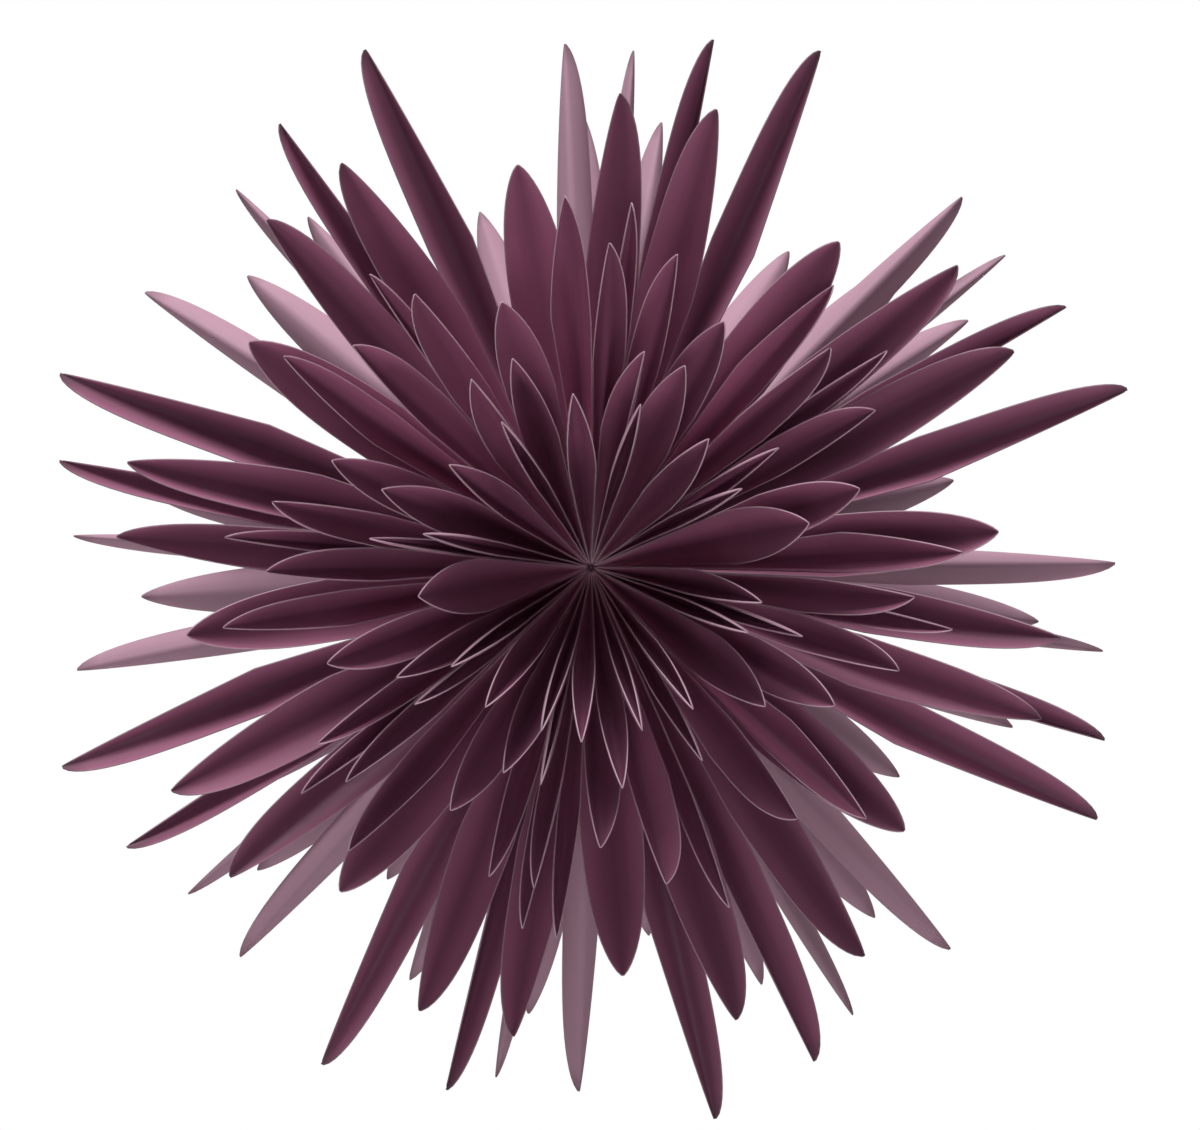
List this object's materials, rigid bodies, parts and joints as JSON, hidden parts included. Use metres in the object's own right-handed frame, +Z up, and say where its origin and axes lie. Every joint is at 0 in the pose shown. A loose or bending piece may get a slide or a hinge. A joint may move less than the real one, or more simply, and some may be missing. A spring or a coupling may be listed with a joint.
{
  "type": "giant paper flower",
  "caption": "Ball-shaped burst of long pointed creased card petals in plum, glued round a small core with a flat card button at the back, for hanging as a decoration.",
  "frame": {"origin": "middle of the flat back face of the card button behind the core", "axes": "+Z up, -Y the way the flower faces, +X to the right as seen from the front"},
  "size_m": [0.5663, 0.5066, 0.575],
  "materials": {
    "plum_card": "satin plum card, dark in the folds, with pale cut edges",
    "dusty_card": "pale dusty pink backs of the rear petals, plum inside their folds",
    "core_card": "matt dark plum board"
  },
  "bodies": {
    "root": {"rim_petal_1": "plum_card", "blade_petal_1": "plum_card", "left_wing_petal_1": "plum_card", "right_wing_petal_1": "plum_card", "broad_petal_1": "plum_card", "rim_petal_2": "plum_card", "blade_petal_2": "plum_card", "left_wing_petal_2": "plum_card", "right_wing_petal_2": "plum_card", "broad_petal_2": "plum_card", "rim_petal_3": "plum_card", "blade_petal_3": "plum_card", "left_wing_petal_3": "plum_card", "right_wing_petal_3": "plum_card", "broad_petal_3": "plum_card", "rim_petal_4": "plum_card", "blade_petal_4": "plum_card", "left_wing_petal_4": "plum_card", "right_wing_petal_4": "plum_card", "broad_petal_4": "plum_card", "rim_petal_5": "plum_card", "blade_petal_5": "plum_card", "left_wing_petal_5": "plum_card", "right_wing_petal_5": "plum_card", "broad_petal_5": "plum_card", "rim_petal_6": "plum_card", "blade_petal_6": "plum_card", "left_wing_petal_6": "plum_card", "right_wing_petal_6": "plum_card", "broad_petal_6": "plum_card", "rim_petal_7": "plum_card", "blade_petal_7": "plum_card", "left_wing_petal_7": "plum_card", "right_wing_petal_7": "plum_card", "broad_petal_7": "plum_card", "rim_petal_8": "plum_card", "blade_petal_8": "plum_card", "left_wing_petal_8": "plum_card", "right_wing_petal_8": "plum_card", "broad_petal_8": "plum_card", "front_spray_1": "plum_card", "rear_spray_1": "dusty_card", "front_spray_2": "plum_card", "rear_spray_2": "dusty_card", "front_spray_3": "plum_card", "rear_spray_3": "dusty_card", "front_spray_4": "plum_card", "rear_spray_4": "dusty_card", "front_spray_5": "plum_card", "rear_spray_5": "dusty_card", "front_spray_6": "plum_card", "rear_spray_6": "dusty_card", "front_spray_7": "plum_card", "rear_spray_7": "dusty_card", "front_spray_8": "plum_card", "rear_spray_8": "dusty_card", "back_button": "core_card"}
  },
  "joints": []
}
